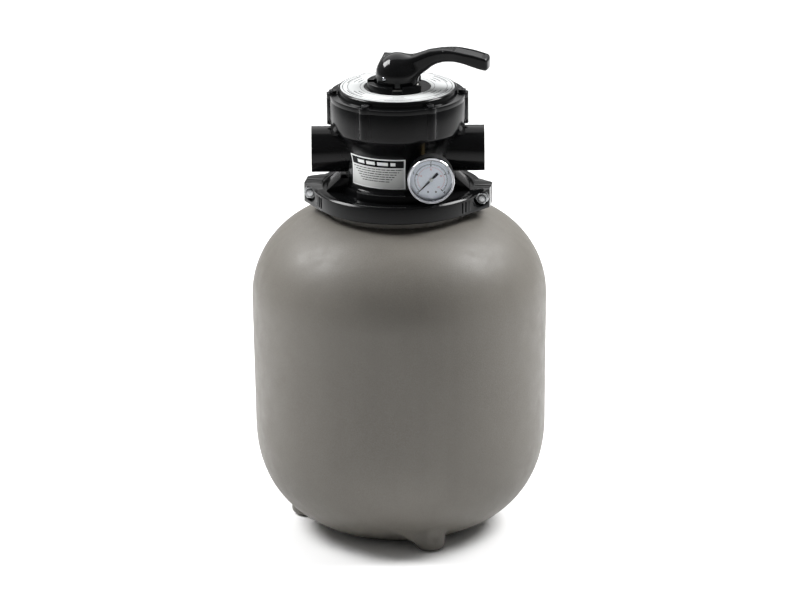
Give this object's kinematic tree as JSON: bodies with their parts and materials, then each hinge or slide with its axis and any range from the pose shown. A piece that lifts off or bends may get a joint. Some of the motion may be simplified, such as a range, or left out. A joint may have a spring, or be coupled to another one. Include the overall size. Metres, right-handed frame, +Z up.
{
  "type": "sand filter tank",
  "caption": "Top-mount sand filter: rounded blow-moulded tank on stub feet, bolted clamp ring, multiport valve with side ports, lever handle and pressure gauge",
  "frame": {"origin": "centre of the tank's axis on the floor, under the feet", "axes": "+Z up along the tank, -Y is the front with the gauge and the sticker, +X is the port the handle points to"},
  "size_m": [0.35, 0.35, 0.5885],
  "materials": {
    "tank_plastic": "satin warm grey with a fine pebble grain",
    "black_plastic": "semi-gloss black moulding",
    "black_gloss": "polished black moulding",
    "gauge_black": "black lacquered case",
    "screw_coating": "blackened steel",
    "steel": "stainless, lightly brushed",
    "chrome": "bright chrome",
    "brass": "machined brass",
    "rubber": "black rubber",
    "white_plastic": "natural white moulding",
    "dark_plastic": "dark grey moulding",
    "label_film": "printed white film",
    "dial_white": "printed white dial",
    "needle_black": "black lacquer",
    "clear_lens": "clear window"
  },
  "bodies": {
    "root": {"tank_shell": "tank_plastic", "neck_oring": "rubber", "clamp_front": "black_plastic", "clamp_rear": "black_plastic", "clamp_bolts": "steel", "clamp_nuts": "steel", "valve_body": "black_plastic", "spider_gasket": "rubber", "rotor_spring": "steel", "spring_washer": "steel", "valve_lid": "black_plastic", "lid_oring": "rubber", "lid_screws": "screw_coating", "position_label": "label_film", "neck_sticker": "label_film", "gauge_case": "gauge_black", "gauge_bezel": "chrome", "gauge_lens": "clear_lens", "gauge_dial": "dial_white", "gauge_movement": "brass", "gauge_stem": "brass", "gauge_seal": "rubber", "top_diffuser": "white_plastic", "standpipe": "white_plastic", "lateral_hub": "dark_plastic", "laterals": "dark_plastic"},
    "turn": {"handle_washer": "white_plastic"},
    "stem": {"rotor": "white_plastic", "stem_orings": "rubber"},
    "lever": {"handle": "black_gloss", "handle_pin": "chrome"},
    "needle": {"gauge_needle": "needle_black"}
  },
  "joints": [
    {"name": "valve_turn", "type": "hinge", "parent": "root", "child": "turn", "pos_m": [0, 0, 0.54], "axis": [0, 0, 1], "continuous": true},
    {"name": "rotor_lift", "type": "slide", "parent": "turn", "child": "stem", "axis": [0, 0, 1], "range_m": [0, 0.0041], "deforming": ["rotor_spring"]},
    {"name": "handle_press", "type": "hinge", "parent": "stem", "child": "lever", "pos_m": [-0.01185, 0.00188, 0.5535], "axis": [0.1564, 0.9877, 0], "range_deg": [0, 10], "stiffness_Nm_per_rad": 6, "springref_deg": -17.19},
    {"name": "gauge_sweep", "type": "hinge", "parent": "root", "child": "needle", "pos_m": [0.0385, -0.09, 0.45], "axis": [0, 1, 0], "range_deg": [0, 270], "stiffness_Nm_per_rad": 0.0004}
  ],
  "couplings": [
    {"joint": "rotor_lift", "follows": "handle_press", "m_per_rad": 0.02292}
  ]
}
